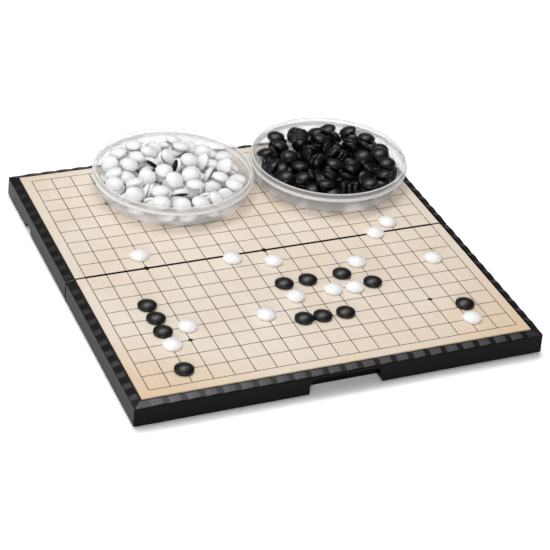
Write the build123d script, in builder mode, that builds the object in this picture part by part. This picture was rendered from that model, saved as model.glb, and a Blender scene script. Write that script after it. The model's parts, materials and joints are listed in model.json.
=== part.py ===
from build123d import *
from math import atan2, cos, hypot, pi, radians, sin, sqrt
import os

import numpy as np

# A folding magnetic go board, open on a table, with its stones and its two stone bowls.
# It is two shallow trays that stand upside down, hinged along the middle of the grid.
# Millimetres, +Z up, +X along the seam and +Y towards the half that carries the bowls.
# The origin is on the table, under the middle of the whole set.

os.makedirs("parts", exist_ok=True)

# Grid: 19 lines each way, and the middle row is the seam itself
line_count = 19
pitch = 14.4
line_width = 0.5
star_diameter = 3.2
star_spaces = 6
print_thickness = 0.05

# Playing sheet, and the steel sheet that holds the magnets
sheet_margin = 7.0
sheet_thickness = 1.0
steel_thickness = 0.4
steel_inset = 1.5
seam_gap = 0.6
seam_lip = 0.5

# Case: a deck inside a bevelled frame, with walls that flare towards the table
deck_thickness = 2.0
tray_depth = 11.9
wall_thickness = 2.2
wall_flare = 0.4
groove_width = 1.2
bevel_run = 5.5
bevel_drop = 1.4
bevel_sink = 0.7
corner_radius = 1.6
inner_corner_radius = 0.5
edge_radius = 0.4
seam_chamfer = 0.8

# Bevel relief: a row of low ridges, each one rising slowly in a shallow arc and falling faster
block_length = 12.0
block_rise = 0.55
block_low = 0.05
block_half_rise = 0.65
block_end_run = 4.4
block_root = 0.5
relief_inset = 0.35
relief_margin = 1.0

# Finger notch in the middle of the long outer wall, with a wall behind it
notch_width = 51.5
notch_height = 11.0
notch_radius = 5.8
notch_depth = 9.0
notch_wall = 2.0
notch_mouth = 1.0

# Hinge: a steel pin at each end of the seam, through one ear of each half, just clear of the table
barrel_radius = 1.85
ear_length = 5.6
ear_gap = 0.35
ear_end_gap = 0.3
pin_radius = 0.8
pin_seat_gap = 0.02
pin_running_gap = 0.05
closed_gap = 0.1
table_gap = 0.1

# Locating tongues stand under the rims, and the slot shows where a front tongue enters
tongue_width = 10.6
tongue_thickness = 1.6
tongue_root = 6.0
tongue_gap = 0.3
weld = 0.2
front_tongue_reach = 90.0
back_tongue_reach = 117.0
slot_gap = 0.3
slot_height = 3.4

# Stones: a flat disc with a low dome, and a magnet let into the underside
stone_diameter = 13.0
stone_edge = 2.0
stone_dome = 2.3
stone_rounding = 0.5
magnet_diameter = 10.0
magnet_thickness = 1.4
magnet_gap = 0.05
rest_gap = 0.02

# Bowls: shallow, with a ledge half way up that a lid would clip over
bowl_height = 17.5
bowl_rim_radius = 57.5
bowl_flare = 6.0
bowl_corner = 4.5
bowl_corner_turn = 80.0
bowl_waist_inset = 0.2
bowl_ridge_reach = 1.2
bowl_ridge_height = 11.6
bowl_ridge_thickness = 1.8
bowl_wall = 1.3
bowl_foot_width = 3.5
bowl_foot_recess = 0.4
white_bowl_place = (-33.6, 96.4)
bowl_gap = 0.95
bowl_bearing = -6.0

# Loose stones: the most there are, how they lie, each heap's height in the middle and its fall towards the
# wall, and the raster they are piled on
white_loose_limit = 120
black_loose_limit = 145
white_pair_share = 0.3
black_pair_share = 0.2
white_row_share = 0.0
black_row_share = 0.1
upside_down_share = 0.15
upside_down_least_lean = 40
flat_share = 0.6
flat_tilts = (4, 12)
loose_tilts = (6, 14, 20, 30, 42, 55, 70)
pair_tilts = (20, 45, 62, 80)
pair_slip = 1.6
row_tilts = (75, 86)
turn_step = 30
white_heap = (20.0, 0.04)
black_heap = (26.5, 0.14)
drop_tries = 500
most_misses = 40
pile_cell = 0.5
pile_clearance = 0.1
skin_step = 0.35
stack_gap = 0.25

# Stones in play, in grid spaces right of and behind the middle of the board
white_in_play = [
    (-6.03, 1.02), (6.90, 0.68), (5.87, -0.09), (-1.81, -0.39), (0.03, -1.11), (3.89, -2.25), (7.67, -2.92),
    (1.84, -4.13), (2.90, -4.24), (-0.11, -4.20), (-2.01, -5.22), (-5.81, -5.10), (-6.94, -6.26), (7.18, -8.07),
]
black_in_play = [
    (-7.02, -3.05), (-6.97, -4.13), (-7.01, -5.20), (-7.06, -8.14), (-0.22, -3.06), (0.99, -3.06),
    (2.78, -3.01), (3.92, -4.06), (-0.43, -5.98), (0.49, -6.02), (1.63, -6.05), (7.38, -6.93),
]

# Heights above the table
rim_z = barrel_radius + closed_gap / 2 + table_gap
deck_under_z = rim_z + tray_depth
deck_z = deck_under_z + deck_thickness
steel_z = deck_z + steel_thickness
sheet_z = steel_z + sheet_thickness
print_z = sheet_z + print_thickness
bevel_top_z = sheet_z - bevel_sink
wall_top_z = bevel_top_z - bevel_drop
hinge_z = rim_z - closed_gap / 2

# Distances from the middle of the seam: x both ways, and y from the seam outwards
spaces = (line_count - 1) // 2
grid_x = spaces * pitch
seam_edge = seam_gap / 2
sheet_start = seam_edge + seam_lip
grid_reach = sheet_start + spaces * pitch
sheet_x = grid_x + sheet_margin
sheet_reach = grid_reach + sheet_margin
inner_x = sheet_x + groove_width
inner_reach = sheet_reach + groove_width
top_x = inner_x + bevel_run
top_reach = inner_reach + bevel_run
rim_x = top_x + wall_flare
rim_reach = top_reach + wall_flare
tray_x = rim_x - wall_thickness
tray_reach = rim_reach - wall_thickness
slope = atan2(bevel_drop, bevel_run)
slope_length = hypot(bevel_drop, bevel_run)

# A bowl's other radii follow its rim, and the black bowl stands beside the white one
bowl_base_radius = bowl_rim_radius - bowl_flare
bowl_waist_radius = bowl_rim_radius - bowl_waist_inset
bowl_ridge_radius = bowl_rim_radius + bowl_ridge_reach
bowl_step = 2 * bowl_ridge_radius + bowl_gap
black_bowl_place = (
    white_bowl_place[0] + bowl_step * cos(radians(bowl_bearing)),
    white_bowl_place[1] + bowl_step * sin(radians(bowl_bearing)),
)

# The white bowl stands out behind the board, so the seam lies in front of the middle of the set
overhang = max(0.0, white_bowl_place[1] + bowl_ridge_radius - rim_reach)
board = Plane((0, -overhang / 2, 0))

stone_radius = stone_diameter / 2
stone_height = stone_edge + stone_dome
dome_radius = (stone_radius**2 + stone_dome**2) / (2 * stone_dome)


def save(piece, name):
    """Name a finished piece and write it"""
    piece.part.label = name
    export_step(piece.part, f"parts/{name}.step")


def half_outline(half_width, reach, side, rounding):
    """Plan of one half: chamfered at the seam and rounded at its outer corners"""
    with Locations((0, side * (seam_edge + reach) / 2)):
        outline = Rectangle(2 * half_width, reach - seam_edge)
    corners = outline.vertices().sort_by(Axis.Y, reverse=side < 0)
    chamfer(corners[:2], length=seam_chamfer)
    fillet(corners[2:], radius=rounding)


def relief_row(middle, outward, length):
    """Side view of the ridges along one side of the bevel, to be drawn out down the slope"""
    down_slope = outward * cos(slope) - Vector(0, 0, sin(slope))
    normal = outward * sin(slope) + Vector(0, 0, cos(slope))
    bar = Plane(middle + down_slope * relief_inset, x_dir=normal.cross(down_slope), z_dir=down_slope)
    count = int(length / block_length)
    start = -count * block_length / 2
    end = start + count * block_length
    with BuildSketch(bar) as row:
        with BuildLine():
            Line((start, -block_root), (start, block_low))
            for number in range(count):
                low = (start + number * block_length, block_low)
                high = (low[0] + block_length - block_end_run, block_low + block_rise)
                half_way = ((low[0] + high[0]) / 2, block_low + block_half_rise * block_rise)
                ThreePointArc(low, half_way, high)
                Line(high, (low[0] + block_length, block_low))
            Line((end, block_low), (end, -block_root))
            Line((end, -block_root), (start, -block_root))
        make_face()
    return row.sketch


# The back half's ears are the outer ones, flush with its side walls
outer_ear = (rim_x - ear_end_gap - ear_length, rim_x - ear_end_gap)
inner_ear = (outer_ear[0] - ear_gap - ear_length, outer_ear[0] - ear_gap)
pin_length = outer_ear[1] - inner_ear[0] - 2 * ear_end_gap


def on_hinge(x, end, radius):
    """A disc about the hinge axis, x from the middle, that faces the left (-1) or right (1) end of the seam"""
    with BuildSketch(Plane((end * x, board.origin.Y, hinge_z), x_dir=(0, 1, 0), z_dir=(end, 0, 0))) as disc:
        Circle(radius)
    return disc.sketch


def make_case(side, own_ear, other_ear, pin_gap, tongue_reach, slot_reach):
    """One half of the board: a tray with a bevelled frame round its deck, upside down"""
    out = Vector(0, side, 0)
    with BuildPart() as case:
        # Flared walls, then the bevel
        with BuildSketch(board.offset(rim_z)):
            half_outline(rim_x, rim_reach, side, corner_radius)
        with BuildSketch(board.offset(wall_top_z)):
            half_outline(top_x, top_reach, side, corner_radius)
        loft()
        with BuildSketch(board.offset(wall_top_z)):
            half_outline(top_x, top_reach, side, corner_radius)
        with BuildSketch(board.offset(bevel_top_z)):
            half_outline(inner_x, inner_reach, side, inner_corner_radius)
        loft()
        wall_edge = case.edges().filter_by(lambda e: abs(e.center().Z - wall_top_z) < 0.01)
        fillet(wall_edge.filter_by(lambda e: side * (e.center().Y - board.origin.Y) > 2 * seam_edge), edge_radius)

        # The deck lies sunk inside the frame and runs out to a thin lip at the seam
        with BuildSketch(board.offset(deck_z)):
            with Locations((0, side * inner_reach / 2)):
                Rectangle(2 * inner_x, inner_reach)
        extrude(amount=bevel_top_z - deck_z, mode=Mode.SUBTRACT)
        with BuildSketch(board.offset(deck_z)):
            with Locations((0, side * (seam_edge + sheet_start) / 2)):
                Rectangle(2 * sheet_x, seam_lip)
        extrude(amount=sheet_z - deck_z)

        # Underside tray
        with BuildSketch(board.offset(rim_z)):
            tray_start = seam_edge + wall_thickness
            with Locations((0, side * (tray_start + tray_reach) / 2)):
                Rectangle(2 * tray_x, tray_reach - tray_start)
        extrude(amount=tray_depth, mode=Mode.SUBTRACT)

        # Finger notch: its housing stands in the tray, then the notch is cut
        with BuildSketch(board.offset(rim_z)):
            housing_depth = notch_depth + notch_wall - wall_thickness / 2
            with Locations((0, side * (rim_reach - wall_thickness / 2 - housing_depth / 2))):
                Rectangle(notch_width + 2 * notch_wall, housing_depth)
        extrude(amount=tray_depth)
        front = Plane(board.origin + out * (rim_reach + notch_mouth), x_dir=(1, 0, 0), z_dir=(0, -1, 0))
        with BuildSketch(front):
            with Locations((0, rim_z + notch_height / 2)):
                mouth = Rectangle(notch_width, notch_height)
            fillet(mouth.vertices().group_by(Axis.Y)[-1], notch_radius)
        extrude(amount=side * (notch_depth + notch_mouth), mode=Mode.SUBTRACT)

        # Relief on the three outer sides
        top_of_bevel = board.origin + Vector(0, 0, bevel_top_z)
        rows = [(out * inner_reach, out, 2 * (inner_x - relief_margin))]
        for end in (-1, 1):
            side_middle = Vector(end * inner_x, side * (seam_edge + inner_reach) / 2, 0)
            rows.append((side_middle, Vector(end, 0, 0), inner_reach - seam_edge - 2 * relief_margin))
        for middle, outward, length in rows:
            extrude(relief_row(top_of_bevel + middle, outward, length), amount=slope_length - 2 * relief_inset)

        for end in (-1, 1):
            # Hinge: room for the other half's ear, this half's ear, and the pin hole
            room = on_hinge(other_ear[0] - ear_gap, end, barrel_radius + ear_gap)
            extrude(room, amount=ear_length + 2 * ear_gap + ear_end_gap, mode=Mode.SUBTRACT)
            extrude(on_hinge(own_ear[0], end, barrel_radius), amount=ear_length)
            pin_hole = on_hinge(inner_ear[0], end, pin_radius + pin_gap)
            extrude(pin_hole, amount=outer_ear[1] - inner_ear[0], mode=Mode.SUBTRACT)

            # Tongue: a rib on the side wall whose tip stands below the rim
            tongue_x = tray_x - tongue_gap - tongue_thickness
            place = (end * (tongue_x + tongue_thickness / 2), side * tongue_reach)
            with BuildSketch(board):
                with Locations(place):
                    Rectangle(tongue_thickness, tongue_width)
            extrude(amount=rim_z + tongue_root)
            with BuildSketch(board.offset(rim_z)):
                with Locations((end * (tongue_x + tray_x + weld) / 2, side * tongue_reach)):
                    Rectangle(tray_x + weld - tongue_x, tongue_width)
            extrude(amount=tongue_root)

            # Slot in the side wall over the other half's tongue
            if slot_reach:
                with BuildSketch(board.offset(rim_z)):
                    with Locations((end * (rim_x - wall_thickness / 2), side * slot_reach)):
                        Rectangle(2 * wall_thickness, tongue_width + 2 * slot_gap)
                extrude(amount=slot_height, mode=Mode.SUBTRACT)
    return case


def make_sheet(side, inset, bottom_z, thickness):
    """A flat sheet on one half, up to the seam"""
    reach = sheet_reach - inset
    with BuildPart() as sheet:
        with BuildSketch(board.offset(bottom_z)):
            with Locations((0, side * (sheet_start + reach) / 2)):
                Rectangle(2 * (sheet_x - inset), reach - sheet_start)
        extrude(amount=thickness)
    return sheet


def make_grid_print(side):
    """The printed lines and star points of one half, as a skin of ink"""
    with BuildPart() as ink:
        with BuildSketch(board.offset(sheet_z)):
            with Locations(*[(x * pitch, side * (sheet_start + y * pitch)) for x in (-star_spaces, 0, star_spaces)
                             for y in (0, star_spaces)]):
                Circle(star_diameter / 2)
            with Locations((0, side * sheet_start)):
                Rectangle(2 * grid_x + line_width, line_width)
            with Locations((0, side * (sheet_start + sheet_reach) / 2)):
                Rectangle(2 * sheet_x, sheet_reach - sheet_start, mode=Mode.INTERSECT)
            middle = side * (sheet_start + grid_reach + line_width / 2) / 2
            with Locations(*[(step * pitch, middle) for step in range(-spaces, spaces + 1)]):
                Rectangle(line_width, grid_reach + line_width / 2 - sheet_start)
            with Locations(*[(0, side * (sheet_start + step * pitch)) for step in range(1, spaces + 1)]):
                Rectangle(2 * grid_x + line_width, line_width)
        extrude(amount=print_thickness)
    return ink


def make_hinge_pin(end):
    """Steel pin through both ears at one end of the seam"""
    with BuildPart() as pin:
        extrude(on_hinge(inner_ear[0] + ear_end_gap, end, pin_radius), amount=pin_length)
    return pin


def make_bowl(centre):
    """A shallow round bowl, turned about its own axis"""
    with BuildPart() as bowl:
        with BuildSketch(Plane(centre, x_dir=(1, 0, 0), z_dir=(0, -1, 0))):
            ridge_top = bowl_ridge_height + bowl_ridge_thickness
            lip = bowl_wall / 3
            turn = radians(bowl_corner_turn)
            corner_x = bowl_base_radius + bowl_corner * sin(turn)
            corner_z = bowl_corner - bowl_corner * cos(turn)
            inner_corner = bowl_corner - bowl_wall
            inside_x = bowl_base_radius + inner_corner * sin(turn)
            inside_z = bowl_corner - inner_corner * cos(turn)
            with BuildLine():
                outside = [
                    (bowl_base_radius - bowl_foot_width, bowl_foot_recess),
                    (bowl_base_radius - bowl_foot_width + bowl_foot_recess, 0),
                    (bowl_base_radius, 0),
                ]
                Polyline((0, bowl_foot_recess), *outside)
                middle = (bowl_base_radius + bowl_corner * sin(turn / 2), bowl_corner * (1 - cos(turn / 2)))
                ThreePointArc(outside[-1], middle, (corner_x, corner_z))
                upper = Polyline(
                    (corner_x, corner_z),
                    (bowl_waist_radius, bowl_ridge_height),
                    (bowl_ridge_radius, bowl_ridge_height + bowl_ridge_thickness / 4),
                    (bowl_ridge_radius, ridge_top - bowl_ridge_thickness / 4),
                    (bowl_rim_radius, ridge_top),
                    (bowl_rim_radius, bowl_height - lip),
                    (bowl_rim_radius - lip, bowl_height),
                    (bowl_rim_radius - bowl_wall + lip, bowl_height),
                    (bowl_rim_radius - bowl_wall, bowl_height - lip),
                    (bowl_rim_radius - bowl_wall, bowl_ridge_height + bowl_wall),
                    (bowl_waist_radius - bowl_wall - lip, bowl_ridge_height + bowl_wall - lip),
                    (inside_x, inside_z),
                )
                middle = (bowl_base_radius + inner_corner * sin(turn / 2), bowl_corner - inner_corner * cos(turn / 2))
                ThreePointArc(upper @ 1, middle, (bowl_base_radius, bowl_wall))
                Polyline((bowl_base_radius, bowl_wall), (0, bowl_wall), (0, bowl_foot_recess))
            make_face()
        revolve(axis=Axis(centre, (0, 0, 1)))
    return bowl


# One stone and one magnet, standing on the origin, that every other one copies
with BuildPart() as stone_master:
    with BuildSketch(Plane.XZ):
        with BuildLine():
            flat = Line((0, 0), (stone_radius, 0))
            edge = Line(flat @ 1, (stone_radius, stone_edge))
            half_way = stone_radius / 2
            half_height = stone_height - dome_radius + sqrt(dome_radius**2 - half_way**2)
            dome = ThreePointArc(edge @ 1, (half_way, half_height), (0, stone_height))
            Line(dome @ 1, flat @ 0)
        face = make_face()
        fillet(face.vertices().group_by(Axis.X)[-1], stone_rounding)
    revolve(axis=Axis.Z)
    with BuildSketch():
        Circle(magnet_diameter / 2 + magnet_gap)
    extrude(amount=magnet_thickness + magnet_gap, mode=Mode.SUBTRACT)

with BuildPart() as magnet_master:
    with BuildSketch():
        Circle(magnet_diameter / 2)
    extrude(amount=magnet_thickness)


def copies(places, *masters):
    """The same piece, or pieces, at each of its places"""
    with BuildPart() as group:
        with Locations(*places):
            add([master.part for master in masters], mode=Mode.REPLACE)
    return group


def stone_skin():
    """Points all over a stone, a little proud of it, about the middle of its height"""
    radius = stone_radius + pile_clearance
    rings = [(radius, z) for z in np.arange(0, stone_edge, skin_step)]
    for r in [*np.arange(0, radius, skin_step), radius]:
        fall = dome_radius - sqrt(dome_radius**2 - min(r, stone_radius) ** 2)
        rings += [(r, -pile_clearance), (r, stone_height - fall + pile_clearance)]
    points = []
    for r, z in rings:
        count = max(6, int(2 * pi * r / skin_step))
        angles = np.linspace(0, 2 * pi, count, endpoint=False)
        points += [(r * cos(a), r * sin(a), z - stone_height / 2) for a in angles]
    return np.array(points)


def tilted(points, axis):
    """Points turned so that their own Z lies along an axis"""
    side_axis = np.cross(axis, (0.0, 0.0, 1.0) if abs(axis[2]) < 0.9 else (1.0, 0.0, 0.0))
    side_axis /= np.linalg.norm(side_axis)
    return points @ np.array([side_axis, np.cross(axis, side_axis), axis])


def shadow(points):
    """Lowest and highest point of a shape in each raster cell under it"""
    reach = int(np.abs(points[:, :2]).max() / pile_cell) + 1
    cells = np.round(points[:, :2] / pile_cell).astype(int) + reach
    low = np.full((2 * reach + 1, 2 * reach + 1), np.inf)
    high = np.full_like(low, -np.inf)
    np.minimum.at(low, (cells[:, 0], cells[:, 1]), points[:, 2])
    np.maximum.at(high, (cells[:, 0], cells[:, 1]), points[:, 2])
    return reach, low, high


def stone_shapes(members, tilts, rng):
    """One or more stones that cling together, by lean and then by turn. A member is its foot and whether it faces up"""
    skin = stone_skin()
    body = np.vstack([skin * (1, 1, up) + (slip, 0, rise + up * stone_height / 2) for slip, rise, up in members])
    middle = np.array((0, 0, body[:, 2].mean()))
    feet = np.array([(slip, 0, rise) for slip, rise, up in members]) - middle
    shapes = []
    for lean in np.radians(tilts):
        shapes.append([])
        for turn in np.arange(0, 360, turn_step) + rng.uniform(0, turn_step):
            axis = np.array((sin(lean) * cos(radians(turn)), sin(lean) * sin(radians(turn)), cos(lean)))
            if lean > radians(upside_down_least_lean) and rng.random() < upside_down_share:
                axis *= -1
            placings = [(foot, axis * up) for foot, (slip, rise, up) in zip(tilted(feet, axis), members)]
            shapes[-1].append((placings, *shadow(tilted(body - middle, axis))))
    return shapes


def pile(limit, pair_share, row_share, heap_top, heap_slope, seed):
    """Drop stones into a bowl one by one, each where it leaves the least room, till none fits under the heap's top"""
    rng = np.random.default_rng(seed)
    one = [(0, 0, 1)]
    step = stone_height + stack_gap
    flat = stone_shapes(one, flat_tilts, rng)
    loose = stone_shapes(one, loose_tilts, rng)
    # Magnets hold two stones foot to foot, and rows of three that all face one way
    pairs = stone_shapes([(0, stack_gap / 2, 1), (pair_slip, -stack_gap / 2, -1)], pair_tilts, rng)
    rows = stone_shapes([(0, 0, 1), (0, step, 1), (0, 2 * step, 1)], row_tilts, rng)

    # The empty bowl: a flat floor, a rounded corner, and a wall that nothing passes
    wall = bowl_base_radius + bowl_corner - bowl_wall - pile_clearance
    half = int(wall / pile_cell) + 2
    across = np.arange(-half, half + 1) * pile_cell
    distance = np.hypot(*np.meshgrid(across, across, indexing="ij"))
    into_corner = np.clip(distance - bowl_base_radius, 0, bowl_corner - bowl_wall)
    ground = bowl_corner - np.sqrt((bowl_corner - bowl_wall) ** 2 - into_corner**2)
    too_high = 10 * bowl_height
    ground[distance > wall - pile_cell] = too_high

    placed = []
    misses = 0
    while len(placed) < limit and misses < most_misses:
        draw = rng.random()
        if draw < row_share and limit - len(placed) >= 3:
            kind = rows
        elif draw < row_share + pair_share and limit - len(placed) >= 2:
            kind = pairs
        elif len(placed) < flat_share * limit:
            kind = flat
        else:
            kind = loose
        choices = kind[rng.integers(len(kind))]
        best = None
        for attempt in range(drop_tries):
            placings, reach, low, high = choices[rng.integers(len(choices))]
            radius = (half - reach) * sqrt(rng.random())
            angle = rng.uniform(0, 2 * pi)
            i = half + int(radius * cos(angle))
            j = half + int(radius * sin(angle))
            window = (slice(i - reach, i + reach + 1), slice(j - reach, j + reach + 1))
            room = low - ground[window]
            z = pile_clearance - room.min()
            score = room[np.isfinite(room)].mean() + 2 * z
            fits = z + high.max() < heap_top - heap_slope * radius * pile_cell
            if fits and (best is None or score < best[0]):
                best = (score, z, i, j, window, placings, high)
        if best is None:
            misses += 1
        else:
            score, z, i, j, window, placings, high = best
            ground[window] = np.maximum(ground[window], z + high)
            middle = np.array(((i - half) * pile_cell, (j - half) * pile_cell, z))
            placed += [Plane(tuple(middle + foot), z_dir=tuple(axis)) for foot, axis in placings]
    return placed


# The two halves: the front one has the inner ears, and swings under the back one
back_case = make_case(1, outer_ear, inner_ear, pin_seat_gap, back_tongue_reach, front_tongue_reach)
front_case = make_case(-1, inner_ear, outer_ear, pin_running_gap, front_tongue_reach, 0)
save(back_case, "back_case")
save(front_case, "front_case")
for side, half in ((1, "back"), (-1, "front")):
    save(make_sheet(side, steel_inset, deck_z, steel_thickness), f"{half}_steel_sheet")
    save(make_sheet(side, 0, steel_z, sheet_thickness), f"{half}_playing_sheet")
    save(make_grid_print(side), f"{half}_grid_print")
save(make_hinge_pin(-1), "left_hinge_pin")
save(make_hinge_pin(1), "right_hinge_pin")

# Bowls and the loose stones in them
for colour, place, settings, seed in (
    ("white", white_bowl_place, (white_loose_limit, white_pair_share, white_row_share, *white_heap), 12),
    ("black", black_bowl_place, (black_loose_limit, black_pair_share, black_row_share, *black_heap), 8),
):
    centre = board.origin + Vector(*place, print_z + rest_gap)
    save(make_bowl(centre), f"{colour}_bowl")
    heap = [Plane(plane.origin + centre, z_dir=plane.z_dir) for plane in pile(*settings, seed)]
    save(copies(heap, stone_master), f"{colour}_loose_stones")
    save(copies(heap, magnet_master), f"{colour}_loose_magnets")

# Stones in play, each one a piece that lifts off
for number, (across, behind) in enumerate(white_in_play, start=1):
    spot = Plane(board.origin + Vector(across * pitch, behind * pitch, print_z + rest_gap))
    save(copies([spot], stone_master), f"white_stone_{number:02d}")
    save(copies([spot], magnet_master), f"white_magnet_{number:02d}")
for number, (across, behind) in enumerate(black_in_play, start=1):
    spot = Plane(board.origin + Vector(across * pitch, behind * pitch, print_z + rest_gap))
    save(copies([spot], stone_master, magnet_master), f"black_stone_{number:02d}")
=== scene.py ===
# %% [markdown]
# # A folding magnetic go board, its stones and its two bowls
# The board is two shallow black trays that stand upside down, hinged in the middle of the grid, with a
# printed sheet on each. The frame file already holds every part at its true size and place. So this script
# keeps the parts that are right as they are and gives them their finish, and makes new meshes only for what
# has to be rounder and smoother than a solid for measuring: the stones, their magnets and the bowls.

# %% Load the frame
import json
import math

import bmesh
import bpy
import numpy as np
from mathutils import Matrix, Vector


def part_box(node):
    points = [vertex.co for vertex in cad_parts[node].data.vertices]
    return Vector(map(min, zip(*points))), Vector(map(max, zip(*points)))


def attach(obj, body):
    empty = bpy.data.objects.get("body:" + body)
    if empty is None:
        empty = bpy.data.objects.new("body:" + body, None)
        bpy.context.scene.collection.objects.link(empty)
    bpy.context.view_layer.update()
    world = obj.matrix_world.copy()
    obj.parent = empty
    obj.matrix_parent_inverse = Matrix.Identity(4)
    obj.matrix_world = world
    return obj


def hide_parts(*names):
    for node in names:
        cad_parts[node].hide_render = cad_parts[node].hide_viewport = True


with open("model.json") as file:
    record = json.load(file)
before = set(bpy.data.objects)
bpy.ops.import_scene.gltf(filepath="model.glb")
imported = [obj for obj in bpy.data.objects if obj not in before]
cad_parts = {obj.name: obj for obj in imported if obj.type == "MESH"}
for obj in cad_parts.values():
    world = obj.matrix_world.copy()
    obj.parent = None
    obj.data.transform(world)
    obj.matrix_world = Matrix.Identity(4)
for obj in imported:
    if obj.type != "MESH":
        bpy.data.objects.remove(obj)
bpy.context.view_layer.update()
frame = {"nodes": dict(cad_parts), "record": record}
nodes = frame["nodes"]
bodies = frame["record"]["behaviour"]["bodies"]
body_of = {node: body for body, members in bodies.items() for node in members}

# %% [markdown]
# ## Colours and nodes
# A hex colour is written for the screen, and Blender's shaders work in linear light, so one function turns
# the first into the second. Each material below is a small tree of nodes. They could be wired by hand in the
# shader editor, but a tree that is written down can be read and repeated. One function adds a node with its
# settings and its links, and four short ones stand on it for what nearly every finish needs: clouds of noise,
# a mix of two colours, a value mapped onto another range, and relief.


# %% Helpers for materials
def linear(hex_colour):
    """An sRGB hex colour as linear red, green, blue and alpha"""
    channels = [int(hex_colour[i:i + 2], 16) / 255 for i in (1, 3, 5)]
    return (*[c / 12.92 if c <= 0.04045 else ((c + 0.055) / 1.055) ** 2.4 for c in channels], 1.0)


def add_node(tree, kind, settings=None, inputs=None):
    """Add a node. An input's value is a number, a colour, or another node's output that feeds it"""
    node = tree.nodes.new(kind)
    for name, value in (settings or {}).items():
        setattr(node, name, value)
    for name, value in (inputs or {}).items():
        if isinstance(value, bpy.types.NodeSocket):
            tree.links.new(value, node.inputs[name])
        else:
            node.inputs[name].default_value = value
    return node


def noise(tree, place, size, **words):
    """Soft clouds about as wide as size. The words are the noise node's own, such as Detail"""
    values = {"Vector": place, "Scale": 1 / size, **words}
    return add_node(tree, "ShaderNodeTexNoise", inputs=values).outputs["Fac"]


def mixed(tree, factor, first, second, blend="MIX"):
    """Two colours mixed by a factor. Each is a hex colour or another node's output"""
    first, second = [linear(colour) if isinstance(colour, str) else colour for colour in (first, second)]
    settings = {"data_type": "RGBA", "blend_type": blend}
    values = {"Factor": factor, "A": first, "B": second}
    return add_node(tree, "ShaderNodeMix", settings, values).outputs["Result"]


def mapped(tree, value, start, end, low, high):
    """A value's stretch from start to end mapped onto low to high, and held there outside it"""
    return add_node(tree, "ShaderNodeMapRange", inputs={
        "Value": value, "From Min": start, "From Max": end, "To Min": low, "To Max": high}).outputs["Result"]


def relief(tree, shader, height, strength, distance):
    """Let a height roughen the surface, by a distance at most"""
    bump = add_node(tree, "ShaderNodeBump", inputs={
        "Height": height, "Strength": strength, "Distance": distance})
    tree.links.new(bump.outputs["Normal"], shader.inputs["Normal"])


def new_material(name, **surface):
    """A material with only the principled surface that the words describe, and its object coordinates"""
    material = bpy.data.materials.new(name)
    material.use_nodes = True
    tree = material.node_tree
    shader = tree.nodes["Principled BSDF"]
    for words, value in surface.items():
        shader.inputs[words.replace("_", " ")].default_value = value
    coordinates = add_node(tree, "ShaderNodeTexCoord").outputs["Object"]
    return material, tree, shader, coordinates


# %% [markdown]
# ## Moulded ABS, for the case
# The case is injection moulded in black ABS, in a mould whose steel was spark eroded to a fine even grain.
# That grain is about a quarter of a millimetre across, far too fine to see at arm's length, but it is what
# spreads a reflection into a soft sheen. The upright walls slid out of the mould and lost most of it, while
# the sloping upper faces kept a thin gloss. Two materials could show that, but the case is one mesh with one
# slot. So a clear coat fades in as a face turns upwards, read from the direction that the face looks in.

# %% Case plastic
mm = 0.001
mould_grain = 0.25 * mm
tone_patch = 50 * mm
wall_slope = 0.4
top_slope = 0.9
top_gloss = 0.45
case_plastic, tree, shader, place = new_material(
    "black_moulded_abs", Roughness=0.3, Specular_IOR_Level=0.12, Coat_Roughness=0.28)
tone = mixed(tree, noise(tree, place, tone_patch, Detail=3.0), "#060505", "#0B0909")
tree.links.new(tone, shader.inputs["Base Color"])
relief(tree, shader, noise(tree, place, mould_grain, Detail=2.0), strength=0.25, distance=0.03 * mm)
facing = add_node(tree, "ShaderNodeTexCoord").outputs["Normal"]
upward = add_node(tree, "ShaderNodeSeparateXYZ", inputs={"Vector": facing}).outputs["Z"]
gloss = mapped(tree, upward, wall_slope, top_slope, 0.0, top_gloss)
tree.links.new(gloss, shader.inputs["Coat Weight"])
print(case_plastic.name, len(tree.nodes), "nodes")

# %% [markdown]
# ## Printed film, for the playing sheet
# The sheet is a satin film, printed with a pale wood and the grid. The wood is only ink, so it has no
# relief: long faint streaks, darker late wood every few millimetres, and soft patches of warmer colour.
# The colour also holds painted light: a painted sheen keeps the print palest behind the middle of the board,
# and painted shade makes it warmer and darker towards its corners. A picture of real wood would do the wood
# too, but a pattern made of noise has no edge and no size of its own. The streaks come from noise that is
# stretched along the board, and the film's own faint orange peel is the only bump.

# %% Sheet
streak_width = 1.1 * mm
streak_length = 45 * mm
streak_strength = 0.22
warm_patch = 45 * mm
orange_peel = 1.5 * mm
# Painted light: the middle of the painted sheen, and the distances where the painted shade begins and is full
sheen_middle = (0.0, 20 * mm, 0.0)
sheen_reach = 150 * mm
painted_shade_reach = 215 * mm
sheet_film, tree, shader, place = new_material("printed_satin_film", Roughness=0.4, Specular_IOR_Level=0.45)
stretched = add_node(tree, "ShaderNodeMapping", inputs={
    "Vector": place, "Scale": (1 / streak_width, 1 / streak_length, 1.0)}).outputs["Vector"]
streaks = noise(tree, stretched, 1.0, Detail=4.0, Roughness=0.6, Distortion=0.4)
wood = mixed(tree, noise(tree, place, warm_patch, Detail=2.0), "#F2EAE1", "#E9D7C0")
grained = mixed(tree, mapped(tree, streaks, 0.35, 0.75, 0.0, streak_strength), wood, "#D3B48A")
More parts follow.
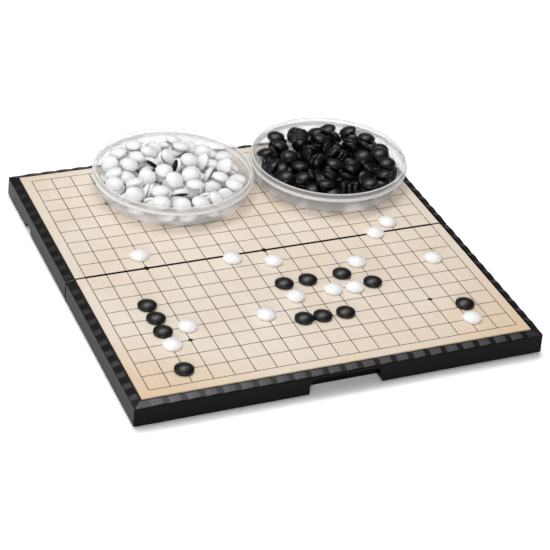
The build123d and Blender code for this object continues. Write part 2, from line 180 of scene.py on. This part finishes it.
# Painted light, not print: the colour is multiplied warmer and darker with distance from the middle, a
# painted sheen there and painted shade towards the corners
from_sheen_middle = add_node(
    tree, "ShaderNodeVectorMath", {"operation": "DISTANCE"}, {0: place, 1: sheen_middle}).outputs["Value"]
painted_shade = mapped(tree, from_sheen_middle, sheen_reach, painted_shade_reach, 0.0, 1.0)
tree.links.new(mixed(tree, painted_shade, grained, "#F5E3CB", "MULTIPLY"), shader.inputs["Base Color"])
relief(tree, shader, noise(tree, place, orange_peel, Detail=1.0), strength=0.15, distance=0.02 * mm)
print(sheet_film.name, len(tree.nodes), "nodes")

# %% [markdown]
# ## Ink, for the grid
# The grid is screen printed in a brownish black ink, which takes a little unevenly and lies matt on the
# film. It could be painted into the film's own material, but here each print is a thin part of its own, so
# it only needs two near tones in patches a little wider than a line.

# %% Ink
ink_mottle = 0.8 * mm
grid_ink, tree, shader, place = new_material("dark_brown_ink", Roughness=0.55, Specular_IOR_Level=0.35)
tone = mixed(tree, noise(tree, place, ink_mottle, Detail=2.0), "#050302", "#0C0806")
tree.links.new(tone, shader.inputs["Base Color"])
print(grid_ink.name, len(tree.nodes), "nodes")

# %% [markdown]
# ## Steel and ferrite, for what is hidden
# The pins are drawn steel wire and the hidden sheets are tinned steel, both with fine scratches along one
# way. The scratches are noise that is stretched forty times along them, and they roughen the shine as well
# as the surface. The magnets are bare sintered ferrite, a charcoal ceramic that is slightly pitted, and
# they show wherever a loose stone lies on its back.


# %% Steel and ferrite
def brushed(name, hex_colour, roughness, scratch):
    """Bare metal with fine scratches, as wide as scratch says, along X"""
    stretch = 40
    smoother = 0.08
    rougher = 0.12
    material, tree, shader, place = new_material(name, Metallic=1.0, Roughness=roughness)
    lay = add_node(tree, "ShaderNodeMapping", inputs={
        "Vector": place, "Scale": (1 / (stretch * scratch), 1 / scratch, 1 / scratch)}).outputs["Vector"]
    lines = noise(tree, lay, 1.0, Detail=3.0)
    spread = mapped(tree, lines, 0.0, 1.0, roughness - smoother, roughness + rougher)
    tree.links.new(spread, shader.inputs["Roughness"])
    shader.inputs["Base Color"].default_value = linear(hex_colour)
    relief(tree, shader, lines, strength=0.2, distance=0.01 * mm)
    return material


pin_steel = brushed("drawn_steel_wire", "#B9BABC", 0.3, 0.08 * mm)
sheet_steel = brushed("tinned_steel", "#C3C4C6", 0.35, 0.15 * mm)
pit_size = 0.4 * mm
ferrite, tree, shader, place = new_material("sintered_ferrite", Roughness=0.6, Specular_IOR_Level=0.2)
pits = noise(tree, place, pit_size, Detail=3.0)
tree.links.new(mixed(tree, pits, "#0A0909", "#151414"), shader.inputs["Base Color"])
relief(tree, shader, pits, strength=0.4, distance=0.05 * mm)
print(pin_steel.name, sheet_steel.name, ferrite.name)

# %% [markdown]
# ## Stones
# The stones are moulded in a dense, slightly waxy resin and tumbled, which leaves a satin skin with no
# sharp reflections. The white one lets a little light in under its skin, which lifts its shadows. Subsurface
# scattering does that as the real resin does, where a brighter colour would only burn out. The black one
# takes no light in. Tumbling leaves faint dimples about a millimetre across.


# %% Stone resin
def stone_resin(name, light_tone, dark_tone, roughness, **extra):
    """Tumbled resin: two near tones in soft clouds, and shallow dimples"""
    cloud = 7 * mm
    dimple = 1.1 * mm
    material, tree, shader, place = new_material(name, Roughness=roughness, **extra)
    tone = mixed(tree, noise(tree, place, cloud, Detail=2.0), dark_tone, light_tone)
    tree.links.new(tone, shader.inputs["Base Color"])
    relief(tree, shader, noise(tree, place, dimple, Detail=2.0), strength=0.2, distance=0.03 * mm)
    return material


white_resin = stone_resin(
    "white_tumbled_resin", "#FDFCFC", "#F7F5F5", 0.35, Specular_IOR_Level=0.4,
    Subsurface_Weight=0.7, Subsurface_Radius=(1.0, 0.95, 0.9), Subsurface_Scale=2.5 * mm)
black_resin = stone_resin("black_tumbled_resin", "#060505", "#040303", 0.34, Specular_IOR_Level=0.45)
print(white_resin.name, black_resin.name)

# %% [markdown]
# ## Bowls
# The bowls are polypropylene, moulded thin. Polypropylene is milky by nature: light goes through, but
# scattered, so the stones show only as soft shapes. Glass with a rough transmission could show that, but it
# turns grey where two walls lie behind each other. So the plastic scatters light under its skin, and a share
# of it is left out altogether, which is what alpha does. The milkiest stretches are the foot, the ridge and
# the lip, where the plastic is thick, and a curve over the height above the foot says how milky each one is.

# %% Bowl plastic
bowl_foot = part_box("white_bowl")[0].z
milky_bands = (  # height above the bowl's foot in millimetres, and how much of what lies behind is hidden
    (0.0, 0.6), (1.5, 0.33), (11.0, 0.23), (11.6, 0.75), (13.4, 0.75),
    (13.8, 0.18), (16.6, 0.22), (17.0, 0.7), (17.5, 0.7),
)
highest_band = milky_bands[-1][0]
haze = 18 * mm
ripple = 3 * mm
bowl_plastic, tree, shader, place = new_material(
    "frosted_polypropylene", Roughness=0.4, Specular_IOR_Level=0.35, Subsurface_Weight=1.0,
    Subsurface_Radius=(1.0, 1.0, 1.0), Subsurface_Scale=5 * mm, Coat_Weight=0.1, Coat_Roughness=0.2)
tone = mixed(tree, noise(tree, place, haze, Detail=2.0), "#FAFAFA", "#FEFEFD")
tree.links.new(tone, shader.inputs["Base Color"])
relief(tree, shader, noise(tree, place, ripple, Detail=1.0), strength=0.2, distance=0.04 * mm)
height = add_node(tree, "ShaderNodeSeparateXYZ", inputs={"Vector": place}).outputs["Z"]
share = mapped(tree, height, bowl_foot, bowl_foot + highest_band * mm, 0.0, 1.0)
bands = add_node(tree, "ShaderNodeFloatCurve", inputs={"Value": share})
curve = bands.mapping.curves[0]
given_points = len(curve.points)
for number, (up, milk) in enumerate(milky_bands):
    if number < given_points:
        curve.points[number].location = (up / highest_band, milk)
    else:
        curve.points.new(up / highest_band, milk)
for point in curve.points:
    point.handle_type = "VECTOR"
bands.mapping.update()
tree.links.new(bands.outputs["Value"], shader.inputs["Alpha"])
print(bowl_plastic.name, len(curve.points), "points on its curve")

# %% [markdown]
# ## The parts that stay
# The cases, sheets, prints and pins come out of the frame in their final shape, so they keep their meshes
# and only get a finish. The record gives each part a material slot, and a table says which finish that is.
# The parts that are replaced further down get one too, so that nothing is ever left without.

# %% Give the parts their finish
finish_of_slot = {
    "black_plastic": case_plastic, "frosted_plastic": bowl_plastic, "printed_sheet": sheet_film,
    "grid_ink": grid_ink, "sheet_steel": sheet_steel, "pin_steel": pin_steel, "magnet": ferrite,
    "white_stone": white_resin, "black_stone": black_resin,
}
slot_of = {part["node"]: part["material_slot"] for part in frame["record"]["subparts"]}
for name, part in nodes.items():
    part.data.materials.clear()
    part.data.materials.append(finish_of_slot[slot_of[name]])
print("dressed", len(nodes), "parts")

# %% [markdown]
# ## Turned shapes
# A stone, a magnet and a bowl are all round about an upright axis, so each is a profile turned once round.
# A screw modifier could turn it, but the corners on the axis would have to be merged afterwards. Here the
# profile is a list of radius and height pairs from the axis back to the axis, and one function turns it into
# a closed mesh. A point on the axis becomes one vertex there, so no two corners lie in one place.


# %% The lathe
def turned(name, profile, segments, material):
    """A closed mesh from (radius, height) pairs, which run from the top of the axis down to its foot"""
    shape = bmesh.new()
    rings = []
    for radius, height in profile:
        if radius == 0:
            rings.append([shape.verts.new((0, 0, height))] * segments)
            continue
        turns = [2 * math.pi * i / segments for i in range(segments)]
        rings.append([shape.verts.new((radius * math.cos(t), radius * math.sin(t), height)) for t in turns])
    for upper, lower in zip(rings, rings[1:]):
        for i in range(segments):
            corners = [upper[i], lower[i], lower[(i + 1) % segments], upper[(i + 1) % segments]]
            shape.faces.new(list(dict.fromkeys(corners)))
    mesh = bpy.data.meshes.new(name)
    shape.to_mesh(mesh)
    shape.free()
    mesh.materials.append(material)
    mesh.shade_smooth()
    piece = bpy.data.objects.new(name, mesh)
    bpy.context.scene.collection.objects.link(piece)
    return piece


def arc(centre, radius, start, end, steps):
    """Points on a round stretch of a profile. Angles are in degrees, from the radius outwards, upwards"""
    angles = [math.radians(start + (end - start) * i / steps) for i in range(steps + 1)]
    return [(centre[0] + radius * math.cos(a), centre[1] + radius * math.sin(a)) for a in angles]


# %% [markdown]
# ## One stone, read from the frame
# A stone's sizes come from the box of a stone in the frame: its diameter and its height. The underside is
# flat with a round recess for the magnet. The edge is a straight band, and the dome meets it in a soft
# corner, which is what tumbling leaves. The dome's radius isn't free: it follows from how wide and how high
# the dome is.

# %% Sizes of a stone and of its magnet
low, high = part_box("white_stone_01")
stone_radius = (high.x - low.x) / 2
stone_height = high.z - low.z
low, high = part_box("white_magnet_01")
magnet_radius = (high.x - low.x) / 2
magnet_height = high.z - low.z
band_height = 2.0 * mm
corner = 0.5 * mm
magnet_gap = 0.05 * mm
dome_rise = stone_height - band_height
dome_radius = (stone_radius**2 + dome_rise**2) / (2 * dome_rise)
print("stone radius", round(stone_radius / mm, 2), "mm, height", round(stone_height / mm, 2), "mm")
print("magnet radius", round(magnet_radius / mm, 2), "mm")


def stone_profile(dome_steps, corner_steps):
    """A stone from the top of its dome, down its edge and in to the roof of its recess"""
    dome_centre = stone_height - dome_radius
    shoulder_x = stone_radius - corner
    shoulder_z = dome_centre + math.sqrt((dome_radius - corner) ** 2 - shoulder_x**2)
    meet = math.degrees(math.atan2(shoulder_z - dome_centre, shoulder_x))
    top = arc((0, dome_centre), dome_radius, 90, meet, dome_steps)
    shoulder = arc((shoulder_x, shoulder_z), corner, meet, 0, corner_steps)
    foot = arc((stone_radius - corner, corner), corner, 0, -90, corner_steps)
    recess_radius = magnet_radius + magnet_gap
    roof = magnet_height + magnet_gap
    recess = [(recess_radius, 0), (recess_radius, roof), (0, roof)]
    return [(0, stone_height), *top[1:], *shoulder[1:], *foot, *recess]


magnet_profile = [(0, magnet_height), (magnet_radius, magnet_height), (magnet_radius, 0), (0, 0)]

# %% [markdown]
# ## Stones in play
# Each stone in play is a piece of its own, because it lifts off by itself. There are few of them, so they can
# be turned finely. The frame gives each one's place as the middle of its box's floor. A piece's place goes
# into its mesh and its object stays at the origin, as the parts of the frame have it.


# %% Turn and place the stones in play
def set_down(piece, spot):
    """Put a piece's place into its mesh, so that its object stays at the origin"""
    piece.data.transform(Matrix.Translation(spot))
    return piece


def stand_in_for(piece, node):
    """A made piece takes a part's body, and the part itself is hidden"""
    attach(piece, body_of[node])
    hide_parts(node)


fine_segments = 56
resin_of = {"white": white_resin, "black": black_resin}
played = sorted(name for name in nodes if "_stone_" in name)
for name in played:
    low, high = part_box(name)
    spot = Vector(((low.x + high.x) / 2, (low.y + high.y) / 2, low.z))
    profile = stone_profile(dome_steps=8, corner_steps=4)
    colour = name.split("_")[0]
    stone = turned("turned_" + name, profile, fine_segments, resin_of[colour])
    stand_in_for(set_down(stone, spot), name)
    magnet = turned("magnet_of_" + name, magnet_profile, fine_segments, ferrite)
    set_down(magnet, spot)
    magnet_node = name.replace("stone", "magnet")
    if magnet_node in nodes:
        stand_in_for(magnet, magnet_node)
    else:
        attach(magnet, body_of[name])
print("stones in play", len(played))

# %% [markdown]
# ## Loose stones
# The bowls hold heaps of stones that lie every way. They could be dropped in a rigid body simulation, but
# the frame already says how they lie: each of its magnets is a small disc, and the thin way through its
# points is the axis of its stone. Which of the two ways along that axis is up shows in where the stone's
# own middle lies.


# %% Find each loose stone's foot and axis
def separate_solids(part):
    """The corner points of each separate solid of a part, whose triangles share only places"""
    mesh = part.data
    corners = np.zeros(len(mesh.vertices) * 3)
    mesh.vertices.foreach_get("co", corners)
    mesh.calc_loop_triangles()
    triangles = np.zeros(len(mesh.loop_triangles) * 3, int)
    mesh.loop_triangles.foreach_get("vertices", triangles)
    points, same = np.unique(np.round(corners.reshape(-1, 3), 7), axis=0, return_inverse=True)
    triangles = same.ravel()[triangles].reshape(-1, 3)
    group = np.arange(len(points))
    while True:
        lowest = group[triangles].min(axis=1)
        joined = group.copy()
        np.minimum.at(joined, triangles, lowest[:, None])
        joined = joined[joined]
        if (joined == group).all():
            return [points[group == number] for number in np.unique(group)]
        group = joined


def heap_places(colour):
    """Foot and upward axis of each loose stone of a colour"""
    stones = [points.mean(axis=0) for points in separate_solids(nodes[f"{colour}_loose_stones"])]
    places = []
    for points in separate_solids(nodes[f"{colour}_loose_magnets"]):
        middle = points.mean(axis=0)
        _, directions = np.linalg.eigh(np.cov((points - middle).T))
        axis = directions[:, 0]
        nearest = min(stones, key=lambda stone: np.linalg.norm(stone - middle))
        axis = axis if axis @ (nearest - middle) > 0 else -axis
        places.append((middle - axis * magnet_height / 2, axis))
    return places


# %% [markdown]
# ## A tree that sets a copy on each place
# The loose stones could be as many objects, but geometry nodes make them all from one. The tree
# takes points that carry an axis, turns a copy of one piece to each, and makes the copies real. The result
# is then kept as a plain mesh, so that nothing is left to work out when the piece moves.


# %% The heap's tree
def heap_tree():
    """Instance one object on each point, turned to the point's axis, and make the copies real"""
    tree = bpy.data.node_groups.new("heap", "GeometryNodeTree")
    face = tree.interface
    face.new_socket("Places", in_out="INPUT", socket_type="NodeSocketGeometry")
    face.new_socket("Copied piece", in_out="INPUT", socket_type="NodeSocketObject")
    face.new_socket("Finish", in_out="INPUT", socket_type="NodeSocketMaterial")
    face.new_socket("Heap", in_out="OUTPUT", socket_type="NodeSocketGeometry")
    start = add_node(tree, "NodeGroupInput")
    axis = add_node(tree, "GeometryNodeInputNamedAttribute", {"data_type": "FLOAT_VECTOR"}, {"Name": "axis"})
    turn = add_node(tree, "FunctionNodeAlignRotationToVector", {"axis": "Z"}, {
        "Vector": axis.outputs["Attribute"]})
    piece = add_node(tree, "GeometryNodeObjectInfo", inputs={
        "Object": start.outputs["Copied piece"], "As Instance": True})
    copies = add_node(tree, "GeometryNodeInstanceOnPoints", inputs={
        "Points": start.outputs["Places"], "Instance": piece.outputs["Geometry"],
        "Rotation": turn.outputs["Rotation"]})
    real = add_node(tree, "GeometryNodeRealizeInstances", inputs={"Geometry": copies.outputs["Instances"]})
    finished = add_node(tree, "GeometryNodeSetMaterial", inputs={
        "Geometry": real.outputs["Geometry"], "Material": start.outputs["Finish"]})
    add_node(tree, "NodeGroupOutput", inputs={"Heap": finished.outputs["Geometry"]})
    return tree


def heaped(name, tree, places, copied, finish):
    """A plain mesh of one copy on each place"""
    mesh = bpy.data.meshes.new(name)
    mesh.from_pydata([foot for foot, axis in places], [], [])
    axes = mesh.attributes.new("axis", "FLOAT_VECTOR", "POINT")
    axes.data.foreach_set("vector", np.ravel([axis for foot, axis in places]))
    heap = bpy.data.objects.new(name, mesh)
    bpy.context.scene.collection.objects.link(heap)
    modifier = heap.modifiers.new("heap", "NODES")
    modifier.node_group = tree
    sockets = {item.name: item.identifier for item in tree.interface.items_tree}
    modifier[sockets["Copied piece"]] = copied
    modifier[sockets["Finish"]] = finish
    evaluated = heap.evaluated_get(bpy.context.evaluated_depsgraph_get())
    heap.data = bpy.data.meshes.new_from_object(evaluated)
    heap.modifiers.clear()
    return heap


# %% [markdown]
# ## The two heaps
# One heap of stones and one of magnets goes into each bowl. The copies have few segments, since there are
# hundreds of them and each is only twenty pixels wide, and smooth shading hides the rest. The master that
# is copied is removed again once its heap is made.

# %% Heap the loose stones
coarse_segments = 14
tree = heap_tree()
for colour in ("white", "black"):
    places = heap_places(colour)
    resin = resin_of[colour]
    coarse_profile = stone_profile(dome_steps=3, corner_steps=1)
    masters = (
        ("stones", turned("copied_stone", coarse_profile, coarse_segments, resin), resin),
        ("magnets", turned("copied_magnet", magnet_profile, coarse_segments, ferrite), ferrite),
    )
    for what, copied, finish in masters:
        heap = heaped(f"heaped_{colour}_{what}", tree, places, copied, finish)
        bpy.data.objects.remove(copied)
        stand_in_for(heap, f"{colour}_loose_{what}")
        print(heap.name, len(places), "copies,", len(heap.data.polygons), "faces")

# %% [markdown]
# ## The bowls
# A bowl is turned like a stone. Its wall leans out a little, steps out to a ledge two thirds of the way up,
# where a lid would snap over, and ends in a rounded lip. The rounding matters here: the bright lines round a
# frosted bowl are light in its rounded edges. Inside, the wall follows the ledge with a short slope.

# %% Turn the bowls
bowl_wall = 1.3 * mm
base_radius = 51.5 * mm
base_corner = 4.5 * mm
base_turn = -10  # degrees below level at which the foot's round corner meets the wall
waist_radius = 57.3 * mm
rim_radius = 57.5 * mm
ridge_foot = 11.6 * mm
ridge_height = 1.8 * mm
inner_slope = 0.4 * mm
foot_width = 3.5 * mm
foot_recess = 0.4 * mm
bowl_segments = 160
wide_steps = 8
edge_steps = 4


def bowl_profile(ridge_radius, height):
    """A bowl from the middle of its floor, up inside, over the lip, down outside and under its foot"""
    lip = bowl_wall / 2
    inner_corner = base_corner - bowl_wall
    ridge_top = ridge_foot + ridge_height
    edge = ridge_height / 3
    return [
        (0, bowl_wall), (base_radius - foot_width, bowl_wall),
        *arc((base_radius, base_corner), inner_corner, -90, base_turn, wide_steps),
        (waist_radius - bowl_wall - inner_slope, ridge_foot + bowl_wall - inner_slope),
        (rim_radius - bowl_wall, ridge_foot + bowl_wall),
        *arc((rim_radius - lip, height - lip), lip, 180, 0, wide_steps),
        (rim_radius, ridge_top),
        *arc((ridge_radius - edge, ridge_top - edge), edge, 90, 0, edge_steps),
        *arc((ridge_radius - edge, ridge_foot + edge), edge, 0, -90, edge_steps),
        (waist_radius, ridge_foot),
        *arc((base_radius, base_corner), base_corner, base_turn, -90, wide_steps),
        (base_radius - foot_width + foot_recess, 0),
        (base_radius - foot_width, foot_recess), (0, foot_recess),
    ]


for name in ("white_bowl", "black_bowl"):
    low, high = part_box(name)
    profile = bowl_profile((high.x - low.x) / 2, high.z - low.z)
    bowl = turned("turned_" + name, profile, bowl_segments, bowl_plastic)
    stand_in_for(set_down(bowl, Vector(((low.x + high.x) / 2, (low.y + high.y) / 2, low.z))), name)
    print(bowl.name, len(bowl.data.polygons), "faces")

# %% [markdown]
# ## Floor
# The set was photographed on a plain white floor that shows nothing but a short soft shadow. A brighter lamp
# would make the floor white, but would also wash out the board. So the floor's own colour is above white for
# the rays that the camera sees, and a plain pale grey for all the others. It rises further away from the
# board, where the lamps are too far off to reach it.

# %% Floor
floor_size = 12.0
near_white = 1.45
far_white = 4.2
near_reach = 0.4
far_reach = 1.8
floor_white, tree, shader, place = new_material("pale_floor", Roughness=0.9, Specular_IOR_Level=0.1)
path = add_node(tree, "ShaderNodeLightPath")
seen = add_node(tree, "ShaderNodeMath", {"operation": "MAXIMUM"}, {
    0: path.outputs["Is Camera Ray"], 1: path.outputs["Is Transmission Ray"]}).outputs["Value"]
away = add_node(tree, "ShaderNodeVectorMath", {"operation": "LENGTH"}, {0: place}).outputs["Value"]
seen_white = mapped(tree, away, near_reach, far_reach, near_white, far_white)
tree.links.new(mixed(tree, seen, "#F8F8F8", seen_white), shader.inputs["Base Color"])
corners = [(x * floor_size / 2, y * floor_size / 2, 0) for x, y in ((-1, -1), (1, -1), (1, 1), (-1, 1))]
mesh = bpy.data.meshes.new("floor")
mesh.from_pydata(corners, [], [(0, 1, 2, 3)])
mesh.materials.append(floor_white)
floor = bpy.data.objects.new("floor", mesh)
bpy.context.scene.collection.objects.link(floor)
print("floor", floor_size, "m wide")

# %% [markdown]
# ## Light
# The light in the photo is broad and soft and comes from above and a little behind, so each dome shines
# towards the back and every shadow is short and falls forwards. The sky glows round that direction and is
# dim elsewhere, so that the black plastic mirrors little. A large key lamp there gives the stones their one
# soft highlight, a smaller one at the rear right stretches it, and two wide fills at the left and in front
# keep the walls from going black. The camera itself sees the sky plain white.

# %% Light
scene = bpy.context.scene
world = bpy.data.worlds.new("studio")
scene.world = world
world.use_nodes = True
tree = world.node_tree
low_sky = 0.12
high_sky = 1.2
seen_sky = 1.0
glow_narrowness = 8.0
brightest = Vector((-0.12, 0.25, 0.96)).normalized()
direction = add_node(tree, "ShaderNodeTexCoord").outputs["Generated"]
along = add_node(tree, "ShaderNodeVectorMath", {"operation": "DOT_PRODUCT"}, {0: direction, 1: brightest})
nearness = add_node(tree, "ShaderNodeClamp", inputs={"Value": along.outputs["Value"]})
falloff = add_node(tree, "ShaderNodeMath", {"operation": "POWER"}, {
    0: nearness.outputs["Result"], 1: glow_narrowness})
glow = mapped(tree, falloff.outputs["Value"], 0.0, 1.0, low_sky, low_sky + high_sky)
path = add_node(tree, "ShaderNodeLightPath")
strength = add_node(tree, "ShaderNodeMix", inputs={
    "Factor": path.outputs["Is Camera Ray"], "A": glow, "B": seen_sky})
tree.links.new(strength.outputs["Result"], tree.nodes["Background"].inputs["Strength"])
tree.nodes["Background"].inputs["Color"].default_value = (1.0, 1.0, 1.0, 1.0)


def softbox(name, direction, distance, size, power):
    """A square area lamp that looks back at the middle of the board"""
    lamp = bpy.data.lights.new(name, "AREA")
    lamp.size = size
    lamp.energy = power
    holder = bpy.data.objects.new(name, lamp)
    towards = Vector(direction).normalized()
    holder.location = towards * distance
    holder.rotation_euler = towards.to_track_quat("Z", "Y").to_euler()
    scene.collection.objects.link(holder)
    print("lamp", name, power, "W")


softbox("key", (-0.04, 0.26, 0.96), distance=1.5, size=0.65, power=8.0)
softbox("rear right", (0.36, 0.36, 0.86), distance=1.5, size=0.5, power=2.5)
softbox("left fill", (-0.9, 0.1, 0.35), distance=1.6, size=0.9, power=5.0)
softbox("front fill", (-0.4, -0.85, 0.35), distance=1.8, size=0.9, power=15.0)

# %% [markdown]
# ## Camera
# The camera's place, its three angles and its focal length were fitted to the crossings of the grid in the
# photo. The focal length came out in pixels of the picture, so it is turned into millimetres on the sensor.
# The view transform is Standard, so that a colour comes out about as it is written.

# %% Camera
camera_place = Vector((-0.4594, -1.0083, 0.7202))
yaw = math.radians(25.08)
pitch = math.radians(33.23)
roll = math.radians(5.30)
picture_width = 550
focal_length_in_pixels = 1879.0
camera = bpy.data.objects.new("camera", bpy.data.cameras.new("camera"))
camera.data.sensor_width = 36.0
camera.data.lens = focal_length_in_pixels / picture_width * camera.data.sensor_width
turn = (Matrix.Rotation(-yaw, 4, "Z") @ Matrix.Rotation(math.pi / 2 - pitch, 4, "X")
        @ Matrix.Rotation(roll, 4, "Z"))
camera.matrix_world = Matrix.Translation(camera_place) @ turn
scene.collection.objects.link(camera)
scene.camera = camera
scene.view_settings.view_transform = "Standard"
print("lens", round(camera.data.lens, 1), "mm")
